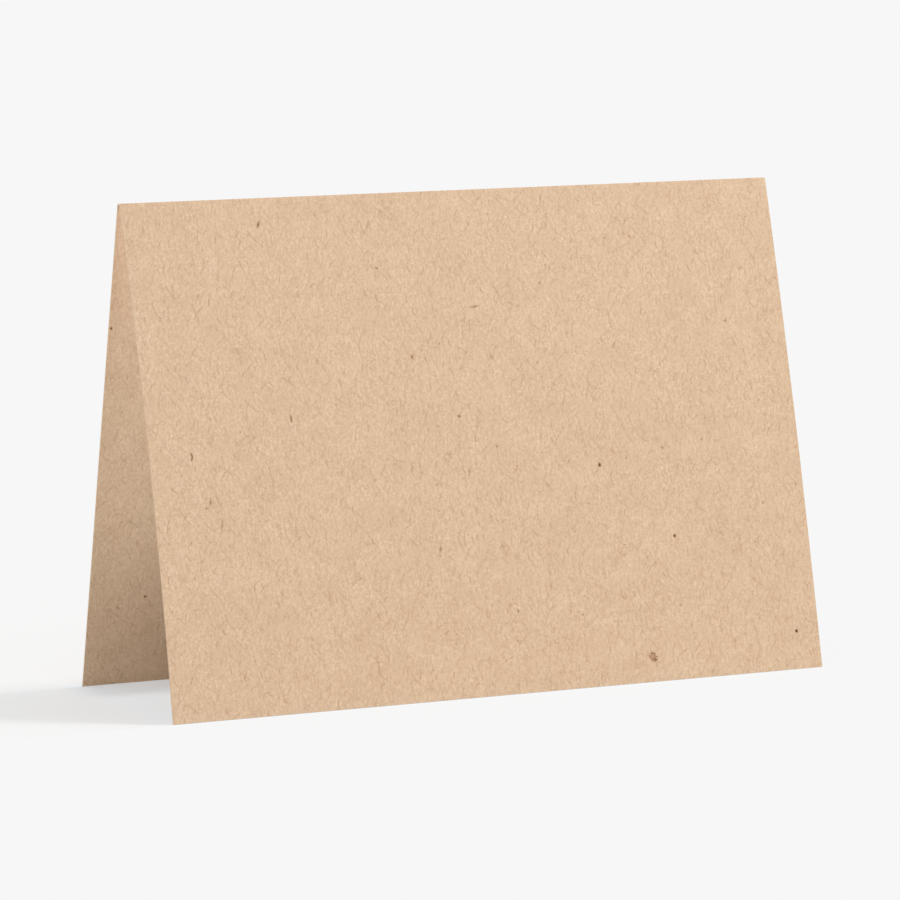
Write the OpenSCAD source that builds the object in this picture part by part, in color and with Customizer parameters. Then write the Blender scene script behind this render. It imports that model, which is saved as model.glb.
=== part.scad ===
// A folded greeting card of kraft stock, standing like a tent on its two cut edges.
// It is one sheet, creased once across its middle. X runs along the fold, the front
// panel faces -Y, and the ground is at Z = 0. All lengths are in millimetres.

/* [Card] */
// Width of both panels, along the fold
card_w = 177.8; // [80:0.1:300]
// Length of each panel along the board, from the middle of the fold to its cut edge
panel_h = 127; // [80:0.1:220]
// Thickness of the card stock
stock_t = 0.4; // [0.25:0.01:0.6]

/* [Standing shape] */
// Angle between the two panels where they leave the fold
fold_angle = 30.8; // [24:0.1:90]
// How far the front panel springs outwards at its middle
front_bow = 1.7; // [0.4:0.1:2.5]

/* [Crease] */
// Radius of the fold on its inside
crease_r = 0.3; // [0.3:0.05:1.5]
// How much thinner the board is pressed along the crease
crease_press = 0.1; // [0.04:0.01:0.15]
// Height of the bead that creasing raises along the inside of the fold
bead_h = 0.12; // [0.05:0.01:0.2]

/* [Hidden] */

KRAFT = [0.88, 0.76, 0.64];
// Steps of the small arcs, and of the front panel's wide one
ARC_STEPS = 96;
BOW_STEPS = 1440;
// How far the wedge that cuts an arc reaches past it, as a share of its radius
WEDGE_REACH = 1.2;
// Angle by which the pressed crease runs on inside each panel
CREASE_ROOT = 12;

// The board's middle line keeps its length when the sheet is creased and bowed
half_fold = fold_angle / 2;
fold_turn = 180 - fold_angle;
fold_mid_r = crease_r + stock_t / 2;
leg = panel_h - fold_mid_r * fold_turn * PI / 180 / 2;
crease_t = stock_t - crease_press;

// The front panel is a shallow arc as long as the leg, tangent to the fold
front_start = 180 - half_fold;
bow_mid_r = leg * leg / (8 * front_bow);
front_end = front_start + leg / bow_mid_r * 180 / PI;
bow_centre = (fold_mid_r - bow_mid_r) * facing(front_start);

// The card rests on the inner corner of each cut edge
front_inner = bow_centre + (bow_mid_r - stock_t / 2) * facing(front_end);
front_outer = bow_centre + (bow_mid_r + stock_t / 2) * facing(front_end);
rear_down = -leg * facing(90 + half_fold);
rear_inner = crease_r * facing(half_fold) + rear_down;
rear_outer = (crease_r + stock_t) * facing(half_fold) + rear_down;

// Turning by this angle about the fold brings both of those corners to one height
level = -atan2(rear_inner.y - front_inner.y, rear_inner.x - front_inner.x);
ground = turned(front_inner, level).y;
middle = (turned(front_outer, level).x + turned(rear_outer, level).x) / 2;

// Unit vector in the section, a degrees anticlockwise from the rear
function facing(a) = [cos(a), sin(a)];

function turned(p, a) = [p.x * cos(a) - p.y * sin(a), p.x * sin(a) + p.y * cos(a)];

// Band of board bent about the origin, with its middle at radius r, between two directions
module bent_board(r, thick, from, to, steps) {
    mid = (from + to) / 2;
    corner = (r + thick) * WEDGE_REACH / cos((to - from) / 4);
    intersection() {
        difference() {
            circle(r = r + thick / 2, $fn = steps);
            circle(r = r - thick / 2, $fn = steps);
        }
        polygon([[0, 0], corner * facing(from), corner * facing(mid), corner * facing(to)]);
    }
}

// The pressed hinge, with a half-round bead under its crown
module crease() {
    bent_board(fold_mid_r, crease_t, half_fold - CREASE_ROOT, front_start + CREASE_ROOT, ARC_STEPS);
    translate([0, fold_mid_r - crease_t / 2]) circle(r = bead_h, $fn = ARC_STEPS);
}

module front_panel() {
    translate(bow_centre) bent_board(bow_mid_r, stock_t, front_start, front_end, BOW_STEPS);
}

module rear_panel() {
    rotate(half_fold) translate([crease_r, -leg]) square([stock_t, leg]);
}

// The section, with Y to the right and Z up
module section() {
    translate([-middle, -ground]) rotate(level) {
        crease();
        front_panel();
        rear_panel();
    }
}

module folded_card() {
    color(KRAFT)
    rotate([90, 0, 90])
    linear_extrude(height = card_w, center = true)
    section();
}

folded_card();
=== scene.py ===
"""Looks of a folded kraft card that stands like a tent on its two cut edges.

The card is one sheet of board, creased once across its middle. Its mesh is laid out on
the flat sheet and then put in its standing place: x runs along the fold, s runs along the
board from the middle of the fold, with the front panel negative, and h is the height
above the board's middle surface, with the outside positive. The card's sizes are in
millimetres, and they become metres where the mesh is made.
"""
import logging
import math
from collections.abc import Mapping, Sequence
from dataclasses import dataclass
from enum import Enum

import bpy
import numpy as np
from mathutils import Matrix, Vector


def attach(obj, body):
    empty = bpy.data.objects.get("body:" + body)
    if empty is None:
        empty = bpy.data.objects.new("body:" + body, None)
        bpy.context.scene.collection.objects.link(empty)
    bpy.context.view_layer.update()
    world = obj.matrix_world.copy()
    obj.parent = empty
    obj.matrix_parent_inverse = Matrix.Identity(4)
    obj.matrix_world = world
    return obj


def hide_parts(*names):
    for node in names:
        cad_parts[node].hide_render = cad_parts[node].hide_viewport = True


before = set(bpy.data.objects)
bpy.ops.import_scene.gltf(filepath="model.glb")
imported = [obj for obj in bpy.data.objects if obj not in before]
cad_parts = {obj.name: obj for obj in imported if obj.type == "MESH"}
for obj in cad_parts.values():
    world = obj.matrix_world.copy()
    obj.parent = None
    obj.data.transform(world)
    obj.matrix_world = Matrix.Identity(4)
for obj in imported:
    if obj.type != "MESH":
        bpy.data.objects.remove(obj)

LOG = logging.getLogger("folded_card")
NODE = "folded_card"
MM = 0.001
LEVELS = 255.0
# Names of the mesh attributes that the material reads
SHEET = "sheet_mm"
CUT = "cut_edge"
# The map that the baked pictures are laid out on goes by this name
BAKE_MAP = "OFBake"


class Face(Enum):
    """The side of the flat sheet that a patch of the mesh covers."""

    OUTER = 1
    INNER = -1


def linear(hex_colour: str) -> tuple[float, float, float, float]:
    """Turn an sRGB hex colour into the linear colour that the shaders take.

    Args:
        hex_colour: The colour as #RRGGBB.

    Returns:
        Red, green, blue and an alpha of 1, all linear.
    """
    parts = (int(hex_colour[i:i + 2], 16) / LEVELS for i in (1, 3, 5))
    red, green, blue = (v / 12.92 if v <= 0.04045 else ((v + 0.055) / 1.055) ** 2.4 for v in parts)
    return red, green, blue, 1.0


def smooth_step(low: float, high: float, value: np.ndarray) -> np.ndarray:
    """Ease each value from 0 at low to 1 at high, level at both ends."""
    t = np.clip((value - low) / (high - low), 0.0, 1.0)
    return t * t * (3.0 - 2.0 * t)


class NodeGraph:
    """A node tree that is filled through one small method."""

    def __init__(self, tree: bpy.types.NodeTree) -> None:
        """Take over a tree and empty it."""
        self.tree = tree
        tree.nodes.clear()

    def add(self, kind: str, inputs: Sequence | Mapping = (), **settings: object) -> bpy.types.Node:
        """Add a node with its settings and links.

        Args:
            kind: The node's type without its ShaderNode prefix.
            inputs: Values, nodes or sockets for the node's inputs, in order or by name.
                A node stands for its first output, and None leaves an input alone.
            **settings: Attributes of the node, such as operation.

        Returns:
            The new node.
        """
        node = self.tree.nodes.new("ShaderNode" + kind)
        for name, value in settings.items():
            setattr(node, name, value)
        for key, value in inputs.items() if isinstance(inputs, Mapping) else enumerate(inputs):
            if isinstance(value, bpy.types.Node):
                value = value.outputs[0]
            if isinstance(value, bpy.types.NodeSocket):
                self.tree.links.new(value, node.inputs[key])
            elif value is not None:
                node.inputs[key].default_value = value
        return node


@dataclass(frozen=True)
class BoardSection:
    """The standing section of the folded board, as in the part's own construction."""

    # Length of a panel from the middle of the fold to its foot
    panel: float = 127.0
    thickness: float = 0.4
    # Degrees between the panels where they leave the fold
    fold_angle: float = 30.8
    # How far the front panel springs off its chord
    front_bow: float = 1.7
    # Radius of the board's inner face in the fold, how much thinner the board is pressed there,
    # and the radius of the bead on its inside
    crease_r: float = 0.3
    crease_press: float = 0.1
    bead: float = 0.12
    # Length along the board over which it thins into the pressed crease
    shoulder: float = 0.12

    @property
    def fold_r(self) -> float:
        """Radius of the board's middle surface in the fold."""
        return self.crease_r + self.thickness / 2

    @property
    def half_fold(self) -> float:
        """Half the angle between the panels, in radians."""
        return math.radians(self.fold_angle) / 2

    @property
    def fold_reach(self) -> float:
        """Length of board from the middle of the fold to where a panel starts."""
        return self.fold_r * (math.pi / 2 - self.half_fold)

    @property
    def bow_r(self) -> float:
        """Radius of the front panel's shallow bow."""
        leg = self.panel - self.fold_reach
        return leg * leg / (8 * self.front_bow)

    def middle_line(self, s: np.ndarray) -> tuple[np.ndarray, np.ndarray]:
        """Bend the board's middle line about the fold, before the card is stood level.

        Args:
            s: Places along the board.

        Returns:
            The places as (y, z) pairs and the outward directions there, as unit pairs.
        """
        front, rear = s < -self.fold_reach, s > self.fold_reach
        run = np.abs(s) - self.fold_reach
        front_start = math.pi - self.half_fold
        angle = np.pi / 2 - s / self.fold_r
        angle = np.where(rear, self.half_fold, angle)
        angle = np.where(front, front_start + run / self.bow_r, angle)
        out = np.stack([np.cos(angle), np.sin(angle)], axis=-1)
        place = self.fold_r * out
        down = np.array([math.sin(self.half_fold), -math.cos(self.half_fold)])
        place = np.where(rear[..., None], place + run[..., None] * down, place)
        bow_centre = (self.fold_r - self.bow_r) * np.array([math.cos(front_start), math.sin(front_start)])
        place = np.where(front[..., None], bow_centre + self.bow_r * out, place)
        return place, out

    def standing(self) -> tuple[np.ndarray, np.ndarray]:
        """Find how the bent board turns and moves so that both feet meet the ground.

        Returns:
            The turn as a matrix, and the shifts along Y and Z after it.
        """
        ends = np.array([-self.panel, self.panel])
        place, out = self.middle_line(ends)
        inner = place - out * self.thickness / 2
        outer = place + out * self.thickness / 2
        reach = inner[1] - inner[0]
        level = -math.atan2(reach[1], reach[0])
        turn = np.array([[math.cos(level), math.sin(level)], [-math.sin(level), math.cos(level)]])
        return turn, np.array([-(outer @ turn)[:, 0].mean(), -(inner @ turn)[0, 1]])

    def half_thickness(self, s: np.ndarray, face: Face) -> np.ndarray:
        """Height of a face above or below the middle surface, thinner in the crease.

        Args:
            s: Places along the board.
            face: The side whose height is wanted.

        Returns:
            Distances from the middle surface, all positive.
        """
        in_crease = 1.0 - smooth_step(self.fold_reach - self.shoulder, self.fold_reach, np.abs(s))
        height = (self.thickness - self.crease_press * in_crease) / 2
        if face is Face.OUTER:
            return height
        # The bead is a half round on the inner face, seen from the centre of the fold
        surface_r = self.fold_r - (self.thickness - self.crease_press) / 2
        turn = s / self.fold_r
        under_root = np.clip(self.bead ** 2 - (surface_r * np.sin(turn)) ** 2, 0.0, None)
        bead_r = surface_r * np.cos(turn) - np.sqrt(under_root)
        on_bead = (under_root > 0) & (np.abs(s) < self.fold_reach)
        return np.where(on_bead, self.fold_r - bead_r, height)

    def stand(self, s: np.ndarray, h: np.ndarray) -> np.ndarray:
        """Put points of the board in their standing place.

        Args:
            s: Places along the board.
            h: Heights above its middle surface.

        Returns:
            The points as (y, z) pairs.
        """
        place, out = self.middle_line(s)
        turn, shift = self.standing()
        return (place + out * h[..., None]) @ turn + shift


@dataclass(frozen=True)
class PhotoCamera:
    """The camera that the card's outline in the 900 pixel photograph gives."""

    # Its directions in radians, and its distance in millimetres
    azimuth: float = -0.4347
    elevation: float = 0.1223
    roll: float = -0.0091
    distance: float = 1211.8
    # Height of the point that it circles, and how far it stands off the line to it
    aim_height: float = 60.0
    aside: float = -0.748
    up: float = -2.207
    # The photograph's width, the lens in its pixels, and the sensor's width in millimetres
    frame_px: float = 900.0
    focal_px: float = 4818.9
    sensor: float = 36.0

    def axes(self) -> tuple[Vector, Vector, Vector]:
        """Find the camera's directions.

        Returns:
            Its right, its up and its backward direction, as unit vectors.
        """
        sin_a, cos_a = math.sin(self.azimuth), math.cos(self.azimuth)
        sin_e, cos_e = math.sin(self.elevation), math.cos(self.elevation)
        back = Vector((sin_a * cos_e, -cos_a * cos_e, sin_e))
        level_right = Vector((cos_a, sin_a, 0.0))
        level_up = back.cross(level_right)
        sin_r, cos_r = math.sin(self.roll), math.cos(self.roll)
        right = cos_r * level_right + sin_r * level_up
        upward = cos_r * level_up - sin_r * level_right
        return right, upward, back

    def place(self) -> Vector:
        """Where the camera stands, in millimetres."""
        right, upward, back = self.axes()
        return Vector((0, 0, self.aim_height)) + right * self.aside + upward * self.up + back * self.distance

    def ray(self, pixel: tuple[float, float]) -> Vector:
        """Find the direction in which the camera sees a pixel of the photograph.

        Args:
            pixel: The pixel's place from the left and from the top.

        Returns:
            The direction, of no set length.
        """
        right, upward, back = self.axes()
        middle = self.frame_px / 2
        return right * (pixel[0] - middle) - upward * (pixel[1] - middle) - back * self.focal_px

    def build(self) -> bpy.types.Object:
        """Make the camera and give it to the scene.

        Returns:
            The camera object.
        """
        data = bpy.data.cameras.new("camera")
        data.sensor_width = self.sensor
        data.lens = self.focal_px * self.sensor / self.frame_px
        camera = bpy.data.objects.new("camera", data)
        bpy.context.scene.collection.objects.link(camera)
        turn = Matrix(self.axes()).transposed().to_4x4()
        camera.matrix_world = Matrix.Translation(self.place() * MM) @ turn
        bpy.context.scene.camera = camera
        return camera


@dataclass(frozen=True)
class Fleck:
    """A bit of bark or dark fibre in the pulp, placed by its pixel in the photograph."""

    name: str
    pixel: tuple[float, float]
    # Its size in millimetres at half its depth of tone
    length: float
    width: float
    # Degrees from the sheet's length, clockwise as seen from its own side
    lean: float = 0.0
    # Tone at its middle, in sRGB levels
    levels: float = -30.0
    face: Face = Face.OUTER


FLECKS = (
    Fleck("round dot by the right edge", (796.5, 630.9), 0.64, 0.60, 0, -170),
    Fleck("dot right of the middle", (599.6, 464.9), 0.82, 0.68, 0, -122),
    Fleck("dot below it", (674.6, 535.7), 0.62, 0.58, 0, -150),
    Fleck("slanted fleck at the upper left", (258.4, 224.3), 1.40, 0.48, 22, -78),
    Fleck("upright fleck at the left", (291.2, 419.1), 1.40, 0.46, -3, -84),
    Fleck("bent fleck at the left edge, upper half", (191.9, 455.6), 0.98, 0.42, -18, -84),
    Fleck("bent fleck at the left edge, lower half", (191.8, 459.3), 0.88, 0.42, 24, -74),
    Fleck("hooked fleck below it, upper part", (210.6, 502.3), 1.50, 0.40, 8, -52),
    Fleck("hooked fleck below it, lower part", (207.0, 508.6), 0.80, 0.42, 65, -40),
    Fleck("long fleck below the left", (222.1, 524.6), 2.40, 0.46, 14, -42),
    Fleck("long fleck at the upper right", (613.6, 344.6), 1.90, 0.50, 32, -34),
    Fleck("dot in the middle", (412.1, 357.0), 0.85, 0.60, -8, -62),
    Fleck("upright fleck in the middle", (490.8, 357.0), 1.80, 0.46, 2, -30),
    Fleck("dot left of the lower middle", (459.2, 416.3), 0.66, 0.60, -20, -66),
    Fleck("small dot in the lower middle", (496.9, 446.2), 0.55, 0.50, 0, -48),
    Fleck("soft fleck at the lower middle", (469.5, 471.6), 1.30, 0.60, 0, -34),
    Fleck("dot above the middle", (545.5, 265.0), 0.60, 0.50, 0, -50),
    Fleck("second dot above the middle", (539.5, 283.0), 0.60, 0.50, 0, -52),
    Fleck("lying fleck above the middle", (474.5, 306.5), 2.20, 0.42, 84, -42),
    Fleck("dot at the upper left of the middle", (376.5, 268.0), 0.70, 0.46, -60, -54),
    Fleck("dot near the middle", (537.5, 362.5), 0.70, 0.50, 0, -40),
    Fleck("slanted fleck left of the middle", (438.0, 426.3), 0.80, 0.46, -45, -40),
    Fleck("dot below it, at the left", (437.0, 484.3), 0.50, 0.46, 0, -40),
    Fleck("short fleck at the lower left", (440.8, 549.5), 1.00, 0.50, 10, -48),
    Fleck("dot below the middle", (518.3, 611.0), 0.66, 0.60, 0, -58),
    Fleck("dot at the top, right half", (629.0, 236.0), 0.60, 0.50, 0, -44),
    Fleck("dot at the upper right", (725.3, 320.5), 0.70, 0.50, 30, -52),
    Fleck("dot at the right of the middle", (662.5, 447.5), 0.68, 0.58, 0, -44),
    Fleck("dot further right", (701.5, 439.0), 0.50, 0.46, 0, -42),
    Fleck("dot below the middle's right", (589.0, 503.3), 0.50, 0.46, 0, -38),
    Fleck("dot at the right, lower half", (762.8, 502.3), 0.60, 0.50, 0, -48),
    Fleck("dot at the lower right", (680.5, 605.0), 0.62, 0.52, 0, -46),
    Fleck("dot on the rear panel's edge", (111.2, 328.5), 0.54, 0.50, 0, -125, Face.INNER),
    Fleck("dot inside the rear panel", (145.1, 596.5), 0.60, 0.56, 0, -112, Face.INNER),
)


@dataclass(frozen=True)
class BarkFlake:
    """The one larger flake of bark, brown at its rim and open in its middle."""

    name: str = "larger flake at the lower right"
    pixel: tuple[float, float] = (653.2, 656.8)
    # From its middle to its outline, along it and across it
    length: float = 1.50
    width: float = 1.20
    lean: float = -18.0
    # How far inside its outline its rim is darkest, and how far from there the tone fades to
    # either side, both as a share of the way from its middle to its outline
    rim: float = 0.42
    levels: float = -82.0
    # Share of that tone at its faint left side, and how far to the left and to the right of its
    # middle the rim has its faint and its full tone, as a share of its width
    faint_share: float = 0.50
    side: float = 0.7
    # Tone of its thin middle
    heart: float = -26.0
    # Its ragged rim: the greatest distance between places that it strays to, and the
    # millimetres from one bend to the next
    stray: float = 1.8
    stray_mm: float = 0.6
    face: Face = Face.OUTER


# A fleck with its x and s on the sheet
PlacedFleck = tuple[Fleck | BarkFlake, float, float]
# A node whose first output is a tone, in sRGB levels from the board's own
Tone = bpy.types.Node


@dataclass(frozen=True)
class FibreKind:
    """One kind of fibre, drawn once in each cell of a few grids that are turned apart."""

    name: str
    grids: int
    length: float
    # Its width at half its depth of tone
    width: float
    # Degrees to either side of the grain within which it lies
    spread: float
    # How far its middle bows off its chord, as a share of its length
    curl: float
    # Its tone against the board, in sRGB levels
    levels: float
    # Share of the cells that hold one
    share: float
    # Turns and shifts its grids away from those of the other kinds
    seed: int


@dataclass(frozen=True)
class KraftCardStock:
    """Kraft card stock: recycled, unbleached pulp, pressed and dried without a coating.

    The pulp keeps its lignin, so the board is brown. It is formed on a moving wire, which
    lays most fibres along the sheet, and it is pressed flat but not coated. So the eye sees
    matt brown board with single curled fibres, soft clouds where the pulp lies thicker, and
    dark bits of bark that the washing left behind.
    """

    # Tones from a bark speck to a pale fibre, each with its place in sRGB levels from the board's own
    tones: tuple[tuple[float, str], ...] = (
        (-170.0, "#3A1A04"),
        (-100.0, "#7E532C"),
        (-60.0, "#A77F5E"),
        (-30.0, "#C39F7E"),
        (-12.0, "#D2B191"),
        (0.0, "#DCBD9D"),
        (18.0, "#ECCFAF"),
    )
    # Softwood kraft fibres are 2 to 4 mm long. They are some 0.04 mm wide, drawn here as wide
    # as most of a pixel of the photograph, 0.27 mm, so that they show
    fibres: tuple[FibreKind, ...] = (
        FibreKind("long dark", 4, 5.5, 0.20, 60, 0.07, -13.4, 0.60, 11),
        FibreKind("short dark", 3, 2.4, 0.21, 50, 0.08, -16.8, 0.42, 23),
        FibreKind("pale", 2, 3.0, 0.18, 60, 0.10, 6.0, 0.80, 37),
    )
    # How far a fibre's place in its cell varies, as a share of the cell
    fibre_wander: float = 0.3
    # A fibre's greatest tone and curl against those of its kind, and the share of its half
    # length over which it is as strong as at its middle
    fibre_strongest: float = 1.6
    fibre_most_curled: float = 2.0
    fibre_even: float = 0.5
    # Degrees that turn a kind's first grid and each next one, and cells that shift each next one
    grid_turns: tuple[float, float] = (17.0, 37.0)
    grid_shifts: tuple[float, float] = (3.7, 7.9)
    # Thicker and thinner pulp: millimetres between like patches, and their tone
    cloud_mm: float = 14.0
    cloud_levels: float = 9.0
    # Small flocs of pulp, and the felt of fibres too fine to tell apart: spacing of each, its tone,
    # and how much longer it is along the sheet than across
    flocs: tuple[tuple[float, float, float], ...] = ((5.0, 9.0, 1.2), (2.0, 4.0, 1.2))
    felt: tuple[tuple[float, float, float], ...] = ((0.58, 21.8, 1.0), (0.62, 18.0, 2.4))
    # How deep in the noise each of these layers is cut, for each millimetre of its spacing
    layer_depth: float = 10.0
    # The net of single fibres in the felt: spacing, how thin its lines are, and their tone
    nets: tuple[tuple[float, float, float], ...] = ((3.0, 0.030, -9.0), (1.9, 0.040, -8.0))
    net_stretch: float = 1.4
    # How deep in the noise each next net is cut, and the noise that breaks the nets' lines: how
    # far off it is cut, how much finer it is, and its values where a line is gone and is whole
    net_depth: float = 40.0
    gap_off: tuple[float, float, float] = (7.0, 7.0, 9.0)
    gap_scale: float = 1.3
    gap_range: tuple[float, float] = (0.46, 0.60)
    # Wet fibres don't lie in clean arcs, so their whole field is gently stirred: the greatest
    # distance between places that one moves to, and the millimetres from one swirl to the next
    stir_mm: float = 0.55
    stir_wave_mm: float = 2.6
    # The felt is stronger in some patches: their spacing, and its least and greatest share
    patch_mm: float = 6.0
    patch_shares: tuple[float, float] = (0.4, 1.6)
    # Bits of bark: millimetres between them, their radius, the share that shows, and their tone
    speck_mm: float = 4.5
    speck_r: float = 0.27
    speck_share: float = 0.20
    speck_levels: float = -54.0
    # The largest radius against the usual one, the share of it that has the full tone, and the
    # radius in cells below which there is no speck
    speck_largest: float = 1.5
    speck_core: float = 0.3
    speck_least: float = 0.001
    # Painted shade along the crease, darkest at the fold: its tone, and how far down a panel it fades
    crease_shade_levels: float = -9.0
    crease_shade_mm: float = 1.1
    # The cut edge shows raw pulp, a little paler, in layers 0.08 mm apart: its tone, how far that
    # swings to either side, and the millimetres between like patches of a layer
    cut_levels: float = 5.0
    cut_swing: float = 8.0
    cut_patch_mm: float = 2.5
    ply_mm: float = 0.08
    # Calendered but uncoated pulp is close to fully matt
    roughness: float = 0.88
    # The felt stands some hundredths of a millimetre proud: the height for so many levels of its tone
    relief_mm: float = 0.030
    relief_levels: float = 10.0
    relief_strength: float = 0.30

    def build(self, flecks: Sequence[PlacedFleck]) -> bpy.types.Material:
        """Make the material.

        Args:
            flecks: Each single fleck with its x and s on the sheet.

        Returns:
            The material, which reads the mesh attributes SHEET and CUT.
        """
        material = bpy.data.materials.new("kraft_card_stock")
        material.use_nodes = True
        graph = NodeGraph(material.node_tree)
        pattern = BoardPattern(graph, self)
        relief = pattern.felt()
        soft = pattern.total([pattern.clouds(), relief, *pattern.nets(), *pattern.fibres()])
        # The crease's darker tone is painted shade; the specks and flecks are the board's own
        dark = pattern.total([pattern.specks(), pattern.crease(), *pattern.flecks(flecks)])
        tone = pattern.with_cut_edge(pattern.total([soft, dark]))
        low, high = self.tones[0][0], self.tones[-1][0]
        place = graph.add("MapRange", {"Value": tone, "From Min": low, "From Max": high})
        ramp = graph.add("ValToRGB", [place])
        self._fill_ramp(ramp.color_ramp, low, high)
        height = self.relief_mm * MM / self.relief_levels
        bump = graph.add("Bump", {"Height": relief, "Strength": self.relief_strength, "Distance": height})
        surface = {"Base Color": ramp, "Roughness": self.roughness, "Normal": bump}
        graph.add("OutputMaterial", {"Surface": graph.add("BsdfPrincipled", surface)})
        return material

    def _fill_ramp(self, ramp: bpy.types.ColorRamp, low: float, high: float) -> None:
        """Set the ramp's stops to the board's tones. A new ramp has two stops already.

        Args:
            ramp: The ramp.
            low: The tone at its start.
            high: The tone at its end.
        """
        for index, (level, colour) in enumerate(self.tones):
            at = (level - low) / (high - low)
            stop = ramp.elements[index] if index < 2 else ramp.elements.new(at)
            stop.position = at
            stop.color = linear(colour)


class BoardPattern:
    """Draws the board's pattern with nodes, as tones that add up."""

    def __init__(self, graph: NodeGraph, stock: KraftCardStock) -> None:
        """Keep what the pattern is drawn with.

        Args:
            graph: The material's nodes.
            stock: The finish, with the pattern's sizes and tones.
        """
        self.add = graph.add
        self.stock = stock
        # Millimetres across the sheet, along it and through it
        self.sheet = graph.add("Attribute", attribute_name=SHEET).outputs["Vector"]

    def total(self, terms: Sequence[Tone]) -> Tone:
        """Add tones up.

        Args:
            terms: The tones.

        Returns:
            Their sum.
        """
        tone = terms[0]
        for term in terms[1:]:
            tone = self.add("Math", [tone, term], operation="ADD")
        return tone

    def stirred(self, reach: float, wave: float) -> bpy.types.Node:
        """Move the place on the sheet about.

        Args:
            reach: The greatest distance between places that it moves to, in millimetres.
            wave: Millimetres from one swirl to the next.

        Returns:
            The moved place.
        """
        noise = self.add("TexNoise", {"Vector": self.sheet, "Scale": 1.0 / wave, "Detail": 1.0})
        centred = self.add("VectorMath", [noise.outputs["Color"], (0.5, 0.5, 0.5)], operation="SUBTRACT")
        return self.add("VectorMath", [centred, (reach, reach, 0.0), self.sheet], operation="MULTIPLY_ADD")

    def clouds(self) -> Tone:
        """Draw thicker and thinner pulp.

        Returns:
            The soft tone.
        """
        scale = 1.0 / self.stock.cloud_mm
        noise = self.add("TexNoise", {"Vector": self.sheet, "Scale": scale, "Detail": 2.0})
        half = self.stock.cloud_levels / 2
        return self.add("MapRange", {"Value": noise, "To Min": -half, "To Max": half}, clamp=False)

    def felt(self) -> Tone:
        """Draw the flocs and the fine felt, longer along the grain.

        Returns:
            The tone of both.
        """
        flocs, felt = (
            self.total([self.layer(*sizes) for sizes in layers])
            for layers in (self.stock.flocs, self.stock.felt)
        )
        scale = 1.0 / self.stock.patch_mm
        patches = self.add("TexNoise", {"Vector": self.sheet, "Scale": scale, "Detail": 0.0})
        least, most = self.stock.patch_shares
        share = self.add("MapRange", {"Value": patches, "To Min": least, "To Max": most})
        return self.add("Math", [felt, share, flocs], operation="MULTIPLY_ADD")

    def layer(self, spacing: float, levels: float, stretch: float) -> Tone:
        """Smooth random tone about zero.

        Args:
            spacing: Millimetres across the sheet from one patch to the next.
            levels: Distance from its least to its greatest possible tone.
            stretch: How much longer the patches are along the sheet.

        Returns:
            The tone.
        """
        scale = (1.0 / spacing, 1.0 / spacing / stretch, 1.0)
        depth = (0.0, 0.0, self.stock.layer_depth * spacing)
        place = self.add("VectorMath", [self.sheet, scale, depth], operation="MULTIPLY_ADD")
        noise = self.add("TexNoise", {"Vector": place, "Scale": 1.0, "Detail": 0.0})
        bounds = {"Value": noise, "To Min": -levels / 2, "To Max": levels / 2}
        return self.add("MapRange", bounds, clamp=False)

    def nets(self) -> list[Tone]:
        """Draw broken, winding lines, where a soft noise passes its middle value.

        Returns:
            The tone of each net.
        """
        stock = self.stock
        tones = []
        for number, (spacing, thinness, levels) in enumerate(stock.nets):
            scale = (1.0 / spacing, 1.0 / spacing / stock.net_stretch, 1.0)
            depth = (0.0, 0.0, stock.net_depth * number)
            place = self.add("VectorMath", [self.sheet, scale, depth], operation="MULTIPLY_ADD")
            noise = self.add("TexNoise", {"Vector": place, "Scale": 1.0, "Detail": 1.0})
            centred = self.add("Math", [noise, 0.5], operation="SUBTRACT")
            off = self.add("Math", [centred], operation="ABSOLUTE")
            fade = {"Value": off, "From Max": thinness, "To Min": levels, "To Max": 0.0}
            line = self.add("MapRange", fade, interpolation_type="SMOOTHSTEP")
            apart = self.add("VectorMath", [place, stock.gap_off], operation="ADD")
            gaps = self.add("TexNoise", {"Vector": apart, "Scale": stock.gap_scale, "Detail": 0.0})
            gone, whole = stock.gap_range
            shown = self.add("MapRange", {"Value": gaps, "From Min": gone, "From Max": whole})
            tones.append(self.add("Math", [line, shown], operation="MULTIPLY"))
        return tones

    def fibres(self) -> list[Tone]:
        """Draw every kind of fibre.

        Returns:
            One tone for each grid of each kind.
        """
        field = self.stirred(self.stock.stir_mm, self.stock.stir_wave_mm)
        tones = []
        for kind in self.stock.fibres:
            tones.extend(self.fibre_grid(field, kind, number) for number in range(kind.grids))
            LOG.info("%s fibres in %d grids", kind.name, kind.grids)
        return tones

    def fibre_grid(self, field: bpy.types.Node, kind: FibreKind, number: int) -> Tone:
        """Draw one fibre in each cell of one turned grid.

        Args:
            field: Place on the sheet in millimetres, gently stirred.
            kind: The fibre to draw.
            number: The grid's number, which turns and shifts it.

        Returns:
            The tone.
        """
        stock = self.stock
        wander = stock.fibre_wander
        # The cell holds the fibre in any direction and at any of its places
        cell = kind.length / (1.0 - wander)
        first_turn, next_turn = stock.grid_turns
        turn = math.radians(first_turn + next_turn * number + kind.seed)
        shift_across, shift_along = stock.grid_shifts
        shift = (shift_across * number + kind.seed, shift_along * number, 0.0)
        turned = self.add("VectorRotate", {"Vector": field, "Angle": turn}, rotation_type="Z_AXIS")
        scale = (1.0 / cell, 1.0 / cell, 0.0)
        grid = self.add("VectorMath", [turned, scale, shift], operation="MULTIPLY_ADD")
        corner = self.add("VectorMath", [grid], operation="FLOOR")
        chance = self.add("TexWhiteNoise", {"Vector": corner}, noise_dimensions="3D")
        luck = self.add("SeparateColor", [chance.outputs["Color"]]).outputs
        aside = self.add("CombineXYZ", [luck["Red"], luck["Green"]])
        inside = self.add("VectorMath", [grid], operation="FRACTION")
        moved = self.add("VectorMath", [aside, (-wander, -wander, 0.0), inside], operation="MULTIPLY_ADD")
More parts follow.
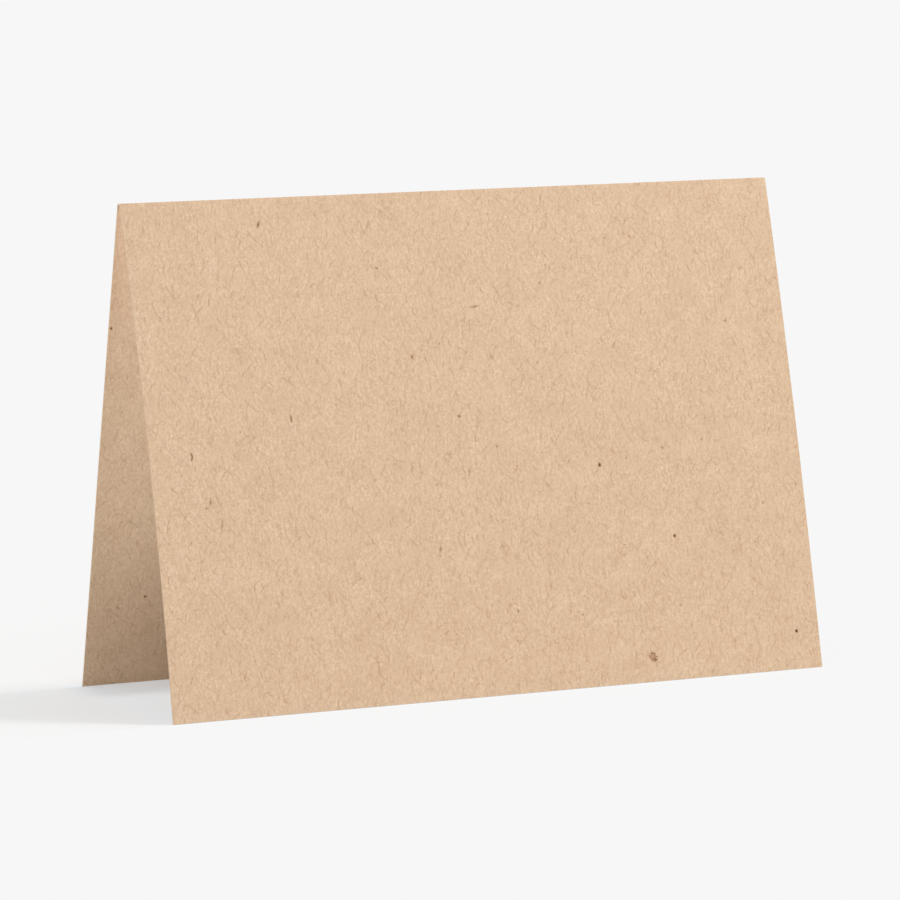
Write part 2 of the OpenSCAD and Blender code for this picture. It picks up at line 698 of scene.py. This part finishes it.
        # A fibre without wander would sit in the middle, so half the wander goes back
        middle = 0.5 - wander / 2
        centred = self.add("VectorMath", [moved, (middle, middle, 0.0)], operation="SUBTRACT")
        spread = math.radians(kind.spread)
        leans = {"Value": luck["Blue"], "To Min": -turn - spread, "To Max": -turn + spread}
        lean = self.add("MapRange", leans)
        along = self.add("VectorRotate", {"Vector": centred, "Angle": lean}, rotation_type="Z_AXIS")
        part = self.add("SeparateXYZ", [along]).outputs
        # The bow is a parabola, which rises by the curl over half the fibre's length
        square = self.add("Math", [part["Y"], part["Y"]], operation="MULTIPLY")
        steepest = stock.fibre_most_curled * 4.0 * kind.curl * cell / kind.length
        bends = {"Value": chance.outputs["Value"], "To Min": -steepest, "To Max": steepest}
        bend = self.add("MapRange", bends)
        across = self.add("Math", [square, bend, part["X"]], operation="MULTIPLY_ADD")
        off = self.add("Math", [across], operation="ABSOLUTE")
        fade = {"Value": off, "From Max": kind.width / cell, "To Min": 1.0, "To Max": 0.0}
        body = self.add("MapRange", fade, interpolation_type="SMOOTHSTEP")
        reach = self.add("Math", [part["Y"]], operation="ABSOLUTE")
        half = kind.length / cell / 2
        even = half * stock.fibre_even
        ends = {"Value": reach, "From Min": even, "From Max": half, "To Min": 1.0, "To Max": 0.0}
        taper = self.add("MapRange", ends, interpolation_type="SMOOTHSTEP")
        shape = self.add("Math", [body, taper], operation="MULTIPLY")
        # Most fibres are faint and a few are strong; those past the share don't show
        most = stock.fibre_strongest * kind.levels
        strengths = {"Value": luck["Red"], "From Max": kind.share, "To Min": most, "To Max": 0.0}
        strength = self.add("MapRange", strengths)
        return self.add("Math", [shape, strength], operation="MULTIPLY")

    def specks(self) -> Tone:
        """Draw the small bits of bark.

        Returns:
            The tone.
        """
        stock = self.stock
        flat = self.add("VectorMath", [self.sheet, (1.0, 1.0, 0.0)], operation="MULTIPLY")
        dots = self.add("TexVoronoi", {"Vector": flat, "Scale": 1.0 / stock.speck_mm})
        luck = self.add("SeparateColor", [dots.outputs["Color"]]).outputs["Red"]
        largest = stock.speck_largest * stock.speck_r / stock.speck_mm
        radii = {"Value": luck, "From Max": stock.speck_share, "To Min": largest, "To Max": 0.0}
        radius = self.add("MapRange", radii)
        body = self.add("Math", [dots.outputs["Distance"], radius], operation="DIVIDE")
        fade = {"Value": body, "From Min": stock.speck_core, "To Min": stock.speck_levels, "To Max": 0.0}
        shape = self.add("MapRange", fade, interpolation_type="SMOOTHSTEP")
        shown = self.add("Math", [radius, stock.speck_least], operation="GREATER_THAN")
        return self.add("Math", [shape, shown], operation="MULTIPLY")

    def flecks(self, flecks: Sequence[PlacedFleck]) -> list[Tone]:
        """Draw the single flecks that the eye finds on this card.

        Args:
            flecks: Each fleck with its x and s on the sheet.

        Returns:
            The tones of all flecks.
        """
        tones = []
        for fleck, x, s in flecks:
            is_flake = isinstance(fleck, BarkFlake)
            place = self.stirred(fleck.stray, fleck.stray_mm) if is_flake else self.sheet
            from_middle = self.add("VectorMath", [place, (x, s, 0.0)], operation="SUBTRACT")
            lean = {"Vector": from_middle, "Angle": math.radians(fleck.lean)}
            turned = self.add("VectorRotate", lean, rotation_type="Z_AXIS")
            shape = (1.0 / fleck.width, 1.0 / fleck.length, 0.0)
            scaled = self.add("VectorMath", [turned, shape], operation="MULTIPLY")
            distance = self.add("VectorMath", [scaled], operation="LENGTH").outputs["Value"]
            if is_flake:
                tones.extend(self.flake_parts(fleck, scaled, distance))
            else:
                fade = {"Value": distance, "To Min": fleck.levels, "To Max": 0.0}
                tones.append(self.add("MapRange", fade, interpolation_type="SMOOTHSTEP"))
        return tones

    def flake_parts(
        self, flake: BarkFlake, place: bpy.types.Node, distance: bpy.types.NodeSocket
    ) -> list[Tone]:
        """Draw the flake's thin middle and its rim.

        Args:
            flake: The flake.
            place: Place on the flake, on a scale on which its outline is 1 from its middle.
            distance: Distance from its middle, on the same scale.

        Returns:
            The tones of both.
        """
        thin = {"Value": distance, "To Min": flake.heart, "To Max": 0.0}
        heart = self.add("MapRange", thin, interpolation_type="SMOOTHSTEP")
        inward = self.add("Math", [distance, 1.0 - flake.rim], operation="SUBTRACT")
        off_rim = self.add("Math", [inward], operation="ABSOLUTE")
        aside = self.add("SeparateXYZ", [place])
        faint = flake.levels * flake.faint_share
        sides = {"Value": aside, "From Min": -flake.side, "From Max": flake.side}
        depth = self.add("MapRange", {**sides, "To Min": faint, "To Max": flake.levels})
        fade = {"Value": off_rim, "From Max": flake.rim, "To Min": depth, "To Max": 0.0}
        return [heart, self.add("MapRange", fade, interpolation_type="SMOOTHSTEP")]

    def crease(self) -> Tone:
        """Darken the board along the crease with painted shade.

        Returns:
            The tone.
        """
        stock = self.stock
        along = self.add("SeparateXYZ", [self.sheet]).outputs["Y"]
        off = self.add("Math", [along], operation="ABSOLUTE")
        fade = {"Value": off, "From Max": stock.crease_shade_mm, "To Min": stock.crease_shade_levels, "To Max": 0.0}
        return self.add("MapRange", fade, interpolation_type="SMOOTHSTEP")

    def with_cut_edge(self, on_face: Tone) -> Tone:
        """Give the cut edge its own layered tone.

        Args:
            on_face: Tone of the board's faces.

        Returns:
            The tone everywhere.
        """
        stock = self.stock
        scale = (1.0 / stock.cut_patch_mm, 1.0 / stock.cut_patch_mm, 1.0 / stock.ply_mm)
        plies = self.add("VectorMath", [self.sheet, scale], operation="MULTIPLY")
        noise = self.add("TexNoise", {"Vector": plies, "Scale": 1.0, "Detail": 1.0})
        low, high = stock.cut_levels - stock.cut_swing, stock.cut_levels + stock.cut_swing
        raw = self.add("MapRange", {"Value": noise, "To Min": low, "To Max": high})
        cut = self.add("Attribute", attribute_name=CUT).outputs["Fac"]
        difference = self.add("Math", [raw, on_face], operation="SUBTRACT")
        return self.add("Math", [difference, cut, on_face], operation="MULTIPLY_ADD")


@dataclass(frozen=True)
class CardSheet:
    """The card itself: one folded sheet with both faces and its four cut edges."""

    # The standing section, the camera that places the single flecks, and the finish
    section: BoardSection
    camera: PhotoCamera
    stock: KraftCardStock
    width: float = 177.8
    # Spacing of the mesh on the panels, and how far from the fold its even rows start
    step: float = 2.0
    fold_margin: float = 0.25
    # Number of its steps in the fold, and of the rows between the ends of each shoulder
    fold_rows: int = 44
    shoulder_rows: int = 3
    # Radius of the cut edges, which a guillotine leaves slightly soft, and the turns in degrees
    # at which the rounding has its rows
    edge_r: float = 0.05
    edge_turns: tuple[float, ...] = (30.0, 60.0, 90.0)
    # Height and spacing of the gentle waves that a sheet takes on as its moisture settles
    cockle: float = 0.045
    cockle_waves: tuple[float, ...] = (31.0, 43.0, 58.0)
    cockle_seed: int = 7
    # The front panel's bow isn't even: what its left and right ends have on top of the section's
    bow_more: tuple[float, float] = (0.8, -0.6)
    # The inner face takes its pattern from another part of the endless field
    inner_shift: float = 400.0

    def rows(self) -> tuple[np.ndarray, np.ndarray]:
        """Lay out the rows: close at the edges and in the fold, and even on the panels.

        Returns:
            The rows along and across the sheet.
        """
        section, soft = self.section, self.edge_r
        fold, end, side = section.fold_reach, section.panel - soft, self.width / 2 - soft
        margin = 2.0 * soft
        near_fold = fold + self.fold_margin
        panel_rows = round((end - near_fold) / self.step)
        panel = np.linspace(near_fold, end - margin, panel_rows)
        one_side = np.concatenate([panel, [end]])
        crease = np.linspace(-fold, fold, self.fold_rows + 1)
        ramps = np.linspace(fold - section.shoulder, fold, self.shoulder_rows + 2)[1:-1]
        crease = np.unique(np.concatenate([crease, ramps, -ramps, [-fold - margin, fold + margin]]))
        along = np.concatenate([-one_side[::-1], crease, one_side])
        side_rows = round(2 * (side - margin) / self.step)
        across = np.concatenate([[-side], np.linspace(margin - side, side - margin, side_rows), [side]])
        return along, across

    def waves(self, s: np.ndarray, x: np.ndarray) -> np.ndarray:
        """Height of the cockle and of the uneven bow, which die out at the fold and at the feet.

        Args:
            s: Places along the board.
            x: Places along the fold.

        Returns:
            Heights above the true surface.
        """
        rng = np.random.default_rng(self.cockle_seed)
        total = np.zeros(np.broadcast(s, x).shape)
        for wave in self.cockle_waves:
            heading, phase = rng.uniform(0, math.tau, 2)
            total += np.sin(math.tau / wave * (x * math.cos(heading) + s * math.sin(heading)) + phase)
        left, right = self.bow_more
        uneven = np.where(s < 0, left + (right - left) * (x / self.width + 0.5), 0.0)
        share = np.abs(s) / self.section.panel
        # A parabola that is 1 at half the panel and 0 at the fold and at the foot
        return (self.cockle / len(self.cockle_waves) * total + uneven) * 4.0 * share * (1.0 - share)

    def points(self, s: np.ndarray, x: np.ndarray, h: np.ndarray) -> np.ndarray:
        """Put points of the sheet in their standing place.

        Args:
            s: Places along the board.
            x: Places along the fold.
            h: Heights above the middle surface.

        Returns:
            The points in millimetres, one row each.
        """
        yz = self.section.stand(s, h + self.waves(s, x))
        return np.column_stack([x, yz])

    def place_flecks(self, flecks: Sequence[Fleck | BarkFlake]) -> list[PlacedFleck]:
        """Find where on the sheet the camera sees each fleck.

        Args:
            flecks: The flecks with their pixels.

        Returns:
            Each fleck with its x and s in the material's coordinates.
        """
        placed = []
        start = np.array(self.camera.place())
        # Enough to bring a panel's length down to far less than a thousandth of a millimetre
        halvings = 40
        for fleck in flecks:
            side_up = fleck.face.value
            ray = np.array(self.camera.ray(fleck.pixel))
            height = np.array([side_up * self.section.thickness / 2])
            # Halve the panel until the ray's line in the section is met
            near, far = self.section.fold_reach, self.section.panel
            x = np.zeros(1)
            for _ in range(halvings):
                s = -side_up * np.array([(near + far) / 2])
                _, y, z = self.points(s, x, height)[0]
                side = ray[1] * (z - start[2]) - ray[2] * (y - start[1])
                near, far = (abs(float(s[0])), far) if side > 0 else (near, abs(float(s[0])))
                x = np.array([start[0] + ray[0] * (y - start[1]) / ray[1]])
            shift = 0.0 if fleck.face is Face.OUTER else self.inner_shift
            placed.append((fleck, float(x[0]) + shift, float(s[0])))
            LOG.info("%s at x %.1f, s %.1f mm", fleck.name, x[0], s[0])
        return placed

    def build(self) -> bpy.types.Object:
        """Make the sheet's mesh and dress it.

        Returns:
            The card's object.
        """
        along, across = self.rows()
        ns, nx = len(along), len(across)
        s, x = (places.ravel() for places in np.meshgrid(along, across, indexing="ij"))
        outer = self.points(s, x, self.section.half_thickness(s, Face.OUTER))
        inner = self.points(s, x, -self.section.half_thickness(s, Face.INNER))

        # The corners of each mesh face in order, and the points round the sheet's rim
        index = np.arange(ns * nx).reshape(ns, nx)
        corners = [index[:-1, :-1], index[:-1, 1:], index[1:, 1:], index[1:, :-1]]
        quads = np.stack(corners, axis=-1).reshape(-1, len(corners))
        rim = np.concatenate([index[0, :-1], index[:-1, -1], index[-1, :0:-1], index[:0:-1, 0]])
        rim_s, rim_x = s[rim], x[rim]
        rounding = np.radians(self.edge_turns)
        ring_points = []
        for face in (Face.OUTER, Face.INNER):
            steps = rounding if face is Face.OUTER else rounding[::-1]
            for angle in steps:
                inset = self.edge_r * (1.0 - math.sin(angle))
                low = self.edge_r * (1.0 - math.cos(angle))
                ring_s, ring_x = self.pushed_out(rim_s, rim_x, inset)
                h = face.value * (self.section.half_thickness(ring_s, face) - low)
                ring_points.append((ring_s, ring_x, h))

        count = ns * nx
        vertices = [outer, inner] + [self.points(*ring) for ring in ring_points]
        rings = [rim]
        for number in range(len(ring_points)):
            rings.append(2 * count + number * len(rim) + np.arange(len(rim)))
        rings.append(count + rim)
        edge_quads = []
        for upper, lower in zip(rings[:-1], rings[1:]):
            edge_quads.append(np.stack([upper, lower, np.roll(lower, -1), np.roll(upper, -1)], axis=-1))
        edge_quads = np.concatenate(edge_quads)
        faces = np.concatenate([quads, count + quads[:, ::-1], edge_quads])

        mesh = bpy.data.meshes.new("card_sheet")
        mesh.from_pydata((np.concatenate(vertices) * MM).tolist(), [], faces.tolist())
        mesh.validate()
        self.write_attributes(mesh, s, x, ring_points, count, len(quads))
        mesh.shade_smooth()
        mesh.materials.append(self.stock.build(self.place_flecks([*FLECKS, BarkFlake()])))
        piece = bpy.data.objects.new("card_sheet", mesh)
        bpy.context.scene.collection.objects.link(piece)
        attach(piece, "root")
        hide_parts(NODE)
        return piece

    def pushed_out(self, s: np.ndarray, x: np.ndarray, inset: float) -> tuple[np.ndarray, np.ndarray]:
        """Move points of the rim outwards until they lie a given inset from the cut.

        Args:
            s: Places along the board.
            x: Places along the fold.
            inset: The distance from the cut.

        Returns:
            The moved places along the board and along the fold.
        """
        end, side = self.section.panel, self.width / 2
        # The rim lies one radius inside the cut, and the next row three
        near_cut = 1.5 * self.edge_r
        moved_s = np.where(np.abs(s) > end - near_cut, np.sign(s) * (end - inset), s)
        moved_x = np.where(np.abs(x) > side - near_cut, np.sign(x) * (side - inset), x)
        return moved_s, moved_x

    def write_attributes(
        self,
        mesh: bpy.types.Mesh,
        s: np.ndarray,
        x: np.ndarray,
        rings: Sequence[tuple[np.ndarray, np.ndarray, np.ndarray]],
        count: int,
        patch: int,
    ) -> None:
        """Write the sheet's coordinates, its cut edge and its map to the mesh.

        Args:
            mesh: The card's mesh.
            s: Places along the board of one face's points.
            x: Places along the fold of one face's points.
            rings: Places along and across, and heights, of the rings of the cut edge.
            count: Number of points of one face.
            patch: Number of mesh faces of one face.
        """
        half = self.section.thickness / 2
        ring_s, ring_x, ring_h = (np.concatenate([ring[i] for ring in rings]) for i in range(3))
        all_s = np.concatenate([s, s, ring_s])
        all_x = np.concatenate([x, x, ring_x])
        all_h = np.concatenate([np.full(count, half), np.full(count, -half), ring_h])
        corner = np.empty(len(mesh.loops), dtype=np.int32)
        mesh.loops.foreach_get("vertex_index", corner)
        # The mesh face of each corner: every one has four
        number = np.arange(len(corner)) // 4
        on_inner = (number >= patch) & (number < 2 * patch)
        on_cut = number >= 2 * patch
        cs, cx, ch = all_s[corner], all_x[corner], all_h[corner]
        shift = np.where(on_inner, self.inner_shift, 0.0)
        flat_h = np.where(on_cut, ch, 0.0)
        sheet = mesh.attributes.new(SHEET, "FLOAT_VECTOR", "CORNER")
        sheet.data.foreach_set("vector", np.column_stack([cx + shift, cs, flat_h]).ravel())
        cut = mesh.attributes.new(CUT, "FLOAT", "CORNER")
        cut.data.foreach_set("value", on_cut.astype(float))
        layer = mesh.uv_layers.new(name=BAKE_MAP)
        layer.uv.foreach_set("vector", self.bake_map(cs, cx, ch, on_inner, on_cut).ravel())

    def bake_map(
        self, s: np.ndarray, x: np.ndarray, h: np.ndarray, on_inner: np.ndarray, on_cut: np.ndarray
    ) -> np.ndarray:
        """Lay the sheet out for baking: the outside whole, the inside smaller, the cuts in strips.

        Args:
            s: Places along the board of each corner.
            x: Places along the fold of each corner.
            h: Heights of each corner.
            on_inner: Whether a corner is on the inner face.
            on_cut: Whether a corner is on the cut edge.

        Returns:
            A pair of map coordinates for each corner.
        """
        half_w, panel, half_t = self.width / 2, self.section.panel, self.section.thickness / 2
        margin, outer_top = 0.008, 0.695
        # The outside: its length along U and its width along V
        u = margin + (s + panel) / (2 * panel) * (1 - 2 * margin)
        v = margin + (x + half_w) / self.width * (outer_top - 2 * margin)
        # The inside: its two panels turned, side by side above the outside
        inner_w, gap, inner_low, inner_high = 0.425, 0.012, 0.705, 0.990
        # The row in the very middle of the fold counts as part of one panel
        column = np.where(s < 0, margin, margin + inner_w + gap)
        inner_u = column + (x + half_w) / self.width * inner_w
        inner_v = inner_low + np.abs(s) / panel * (inner_high - inner_low)
        u = np.where(on_inner, inner_u, u)
        v = np.where(on_inner, inner_v, v)
        # The cuts: four strips at the right of the inside, each filled over its middle half
        strip, strip_left = 0.016, 0.895
        on_side = np.abs(np.abs(x) - half_w) < np.abs(np.abs(s) - panel)
        which = np.where(on_side, np.where(x < 0, 0, 1), np.where(s < 0, 2, 3))
        reach = np.where(on_side, (s + panel) / (2 * panel), (x + half_w) / self.width)
        cut_u = strip_left + (which + 0.25 + 0.5 * (h / half_t + 1) / 2) * strip
        cut_v = inner_low + reach * (inner_high - inner_low)
        u = np.where(on_cut, cut_u, u)
        v = np.where(on_cut, cut_v, v)
        return np.column_stack([u, v])


@dataclass(frozen=True)
class Studio:
    """A plain pale ground under soft light from above and a key from the front right."""

    # The ground and the backdrop show as this tone, and half the ground's side in metres
    ground: str = "#F7F7F7"
    half_size: float = 20.0
    # Light from all round, as the share of white that it gives a level white surface
    ambient: float = 0.71
    # The key's own share on a surface that faces it, and in degrees where it stands and how
    # wide it looks
    key: float = 0.40
    key_azimuth: float = 68.0
    key_elevation: float = 54.5
    key_softness: float = 10.0
    # A weak lamp inside the fold for the light that came in from the side: its tone, in mm its
    # ends along the fold and down the board and its distance off the front panel, the degrees
    # over which it shines, and its colour
    inner_tone: float = 0.54
    inner_x: tuple[float, float] = (-89.0, -58.0)
    inner_s: tuple[float, float] = (1.2, 97.0)
    inner_gap: float = 0.3
    inner_spread: float = 95.0
    inner_colour: tuple[float, float, float] = (0.90, 1.03, 1.12)
    # A weak lamp near the card's upper right corner: its place and its side in mm, and its tone
    # on the card
    near_place: tuple[float, float, float] = (150.0, -170.0, 300.0)
    near_size: float = 80.0
    near_tone: float = 0.050
    # How much of the ground's shading shows beside and behind the card, how much more of it
    # inside at the rear foot, and how much in front of the card
    shade_beside: float = 0.38
    shade_at_foot: float = 0.26
    shade_in_front: float = 0.05
    # Soft edges of that shading, each from where it starts to where it is full, in mm: from the
    # line of the front foot backwards, from the right side leftwards, towards the middle between
    # the feet, inwards from the card's left and right ends, and towards the rear foot
    fade_behind: tuple[float, float] = (-33.0, -29.0)
    fade_leftwards: tuple[float, float] = (95.0, 40.0)
    fade_inside: tuple[float, float] = (36.0, 31.0)
    fade_left_end: tuple[float, float] = (-97.0, -86.0)
    fade_right_end: tuple[float, float] = (88.0, 78.0)
    fade_at_foot: tuple[float, float] = (8.0, 20.0)
    # Between the feet the ground's colour is painted cooler, by as much as the warm light that the card
    # bounces there warms it
    between_tint: tuple[float, float, float] = (1.0, 1.10, 1.20)

    def build(self, section: BoardSection) -> None:
        """Make the ground, the world and the lamps.

        Args:
            section: The card's section, in which the inner lamp hides.
        """
        self._world()
        self._key()
        self._near()
        self._inner(section)
        self._ground()

    def _world(self) -> None:
        """Even light from all round, with the ground's tone where the camera sees it."""
        world = bpy.data.worlds.new("studio")
        bpy.context.scene.world = world
        world.use_nodes = True
        graph = NodeGraph(world.node_tree)
        shown = self._shown(graph)
        light = graph.add("Background", {"Color": (1.0, 1.0, 1.0, 1.0), "Strength": self.ambient})
        backdrop = graph.add("Background", {"Color": linear(self.ground), "Strength": 1.0})
        graph.add("OutputWorld", {"Surface": graph.add("MixShader", [shown, light, backdrop])})

    def _shown(self, graph: NodeGraph) -> bpy.types.Node:
        """Tell where the camera sees a surface itself, in gloss or through glass.

        Args:
            graph: The nodes of a material or of the world.

        Returns:
            A node that gives 1 there and 0 elsewhere.
        """
        path = graph.add("LightPath")
        gloss = graph.add(
            "Math", [path.outputs["Is Camera Ray"], path.outputs["Is Glossy Ray"]], operation="ADD"
        )
        return graph.add(
            "Math", [gloss, path.outputs["Is Transmission Ray"]], operation="ADD", use_clamp=True
        )

    def _key(self) -> None:
        """Place the key light by its direction."""
        lamp = bpy.data.lights.new("key", "SUN")
        lamp.energy = self.key * math.pi
        lamp.angle = math.radians(self.key_softness)
        key = bpy.data.objects.new("key", lamp)
        bpy.context.scene.collection.objects.link(key)
        turn, rise = math.radians(self.key_azimuth), math.radians(self.key_elevation)
        towards = Vector((
            math.sin(turn) * math.cos(rise), -math.cos(turn) * math.cos(rise), math.sin(rise)
        ))
        key.rotation_mode = "QUATERNION"
        key.rotation_quaternion = towards.to_track_quat("Z", "Y")
        key.location = towards

    def _soft_lamp(
        self, name: str, place: Vector, facing: Vector, size: tuple[float, float]
    ) -> bpy.types.Object:
        """Place a flat lamp that gives off a tone of 1 and isn't itself seen.

        Args:
            name: The lamp's name.
            place: Its middle, in millimetres.
            facing: Where it shines to. Its height is set upright to that.
            size: Its width and height in millimetres.

        Returns:
            The lamp's object.
        """
        lamp = bpy.data.lights.new(name, "AREA")
        lamp.shape = "RECTANGLE"
        lamp.size, lamp.size_y = (side * MM for side in size)
        lamp.energy = math.pi * lamp.size * lamp.size_y
        holder = bpy.data.objects.new(name, lamp)
        bpy.context.scene.collection.objects.link(holder)
        holder.rotation_mode = "QUATERNION"
        holder.rotation_quaternion = facing.to_track_quat("-Z", "Y")
        holder.location = place * MM
        holder.visible_camera = False
        return holder

    def _near(self) -> None:
        """Place the weak lamp that brightens the card towards its upper right corner."""
        place = Vector(self.near_place)
        size = (self.near_size, self.near_size)
        near = self._soft_lamp("near_the_corner", place, -place, size)
        # The tone that it gives falls with the square of the distance
        near.data.energy *= self.near_tone * math.pi * place.length_squared / (self.near_size ** 2)

    def _inner(self, section: BoardSection) -> None:
        """Hide the weak lamp inside the fold, facing the rear panel.

        Args:
            section: The card's section, which places it close to the front panel.
        """
        ends = section.stand(-np.array(self.inner_s), np.full(2, -section.thickness / 2 - self.inner_gap))
        left, right = self.inner_x
        top, foot = (Vector(((left + right) / 2, *end)) for end in ends)
        along = top - foot
        facing = along.cross(Vector((1.0, 0.0, 0.0)))
        size = (right - left, along.length)
        inner = self._soft_lamp("inside_of_fold", (top + foot) / 2, facing, size)
        inner.data.energy *= self.inner_tone
        inner.data.color = self.inner_colour
        inner.data.spread = math.radians(self.inner_spread)

    def _ground(self) -> None:
        """Make the ground, which shows its plain tone and a share of its true shading."""
        mesh = bpy.data.meshes.new("ground")
        size = self.half_size
        mesh.from_pydata(
            [(-size, -size, 0.0), (size, -size, 0.0), (size, size, 0.0), (-size, size, 0.0)],
            [],
            [(0, 1, 2, 3)],
        )
        ground = bpy.data.objects.new("ground", mesh)
        bpy.context.scene.collection.objects.link(ground)
        # Smooth matt backdrop paper, which shows neither gloss nor grain
        material = bpy.data.materials.new("white_studio_ground")
        material.use_nodes = True
        graph = NodeGraph(material.node_tree)
        tone = linear(self.ground)
        # What falls on the unshaded ground, which has to reflect it as the plain tone
        falling = self.ambient + self.key * math.sin(math.radians(self.key_elevation))
        plain = graph.add("Emission", {"Color": tone, "Strength": 1.0})
        place = graph.add("SeparateXYZ", [graph.add("NewGeometry").outputs["Position"]]).outputs
        off_middle = graph.add("Math", [place["Y"]], operation="ABSOLUTE")
        edges = (
            (place["Y"], self.fade_behind),
            (place["X"], self.fade_leftwards),
            (off_middle, self.fade_inside),
            (place["X"], self.fade_left_end),
            (place["X"], self.fade_right_end),
            (place["Y"], self.fade_at_foot),
        )
        behind, leftwards, inside, left_end, right_end, at_foot = (
            graph.add(
                "MapRange",
                {"Value": measure, "From Min": start * MM, "From Max": full * MM},
                interpolation_type="SMOOTHSTEP",
            )
            for measure, (start, full) in edges
        )
        beside = graph.add("Math", [behind, leftwards], operation="MULTIPLY")
        # The strip between the feet, from one end of the card to the other
        ends = graph.add("Math", [left_end, right_end], operation="MULTIPLY")
        between = graph.add("Math", [inside, ends], operation="MULTIPLY")
        shaded = graph.add("Math", [beside, between], operation="MAXIMUM")
        shade = graph.add(
            "MapRange", {"Value": shaded, "To Min": self.shade_in_front, "To Max": self.shade_beside}
        )
        contact = graph.add("Math", [between, at_foot], operation="MULTIPLY")
        share = graph.add("Math", [contact, self.shade_at_foot, shade], operation="MULTIPLY_ADD")
        open_tone = tuple(c / falling for c in tone[:3]) + (1.0,)
        # Painted cooler colour between the feet, against the warm light bounced off the card
        cool_tone = tuple(c * t for c, t in zip(open_tone, self.between_tint)) + (1.0,)
        colour = graph.add("MixRGB", [between, open_tone, cool_tone])
        surface = graph.add("BsdfDiffuse", {"Color": colour})
        seen = graph.add("MixShader", [share, plain, surface])
        mixed = graph.add("MixShader", [self._shown(graph), surface, seen])
        graph.add("OutputMaterial", {"Surface": mixed})
        mesh.materials.append(material)


def main() -> None:
    """Build the camera, the studio and the card, and report each."""
    logging.basicConfig(level=logging.INFO, format="%(name)s: %(message)s")
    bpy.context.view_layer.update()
    bpy.context.scene.view_settings.view_transform = "Standard"
    photo_camera = PhotoCamera()
    camera = photo_camera.build()
    LOG.info("%s with a lens of %.1f mm", camera.name, camera.data.lens)
    section = BoardSection()
    Studio().build(section)
    LOG.info("studio with its ground and lamps")
    piece = CardSheet(section, photo_camera, KraftCardStock()).build()
    LOG.info("%s with %d mesh faces", piece.name, len(piece.data.polygons))
    bpy.context.view_layer.update()


if __name__ == "__main__":
    main()
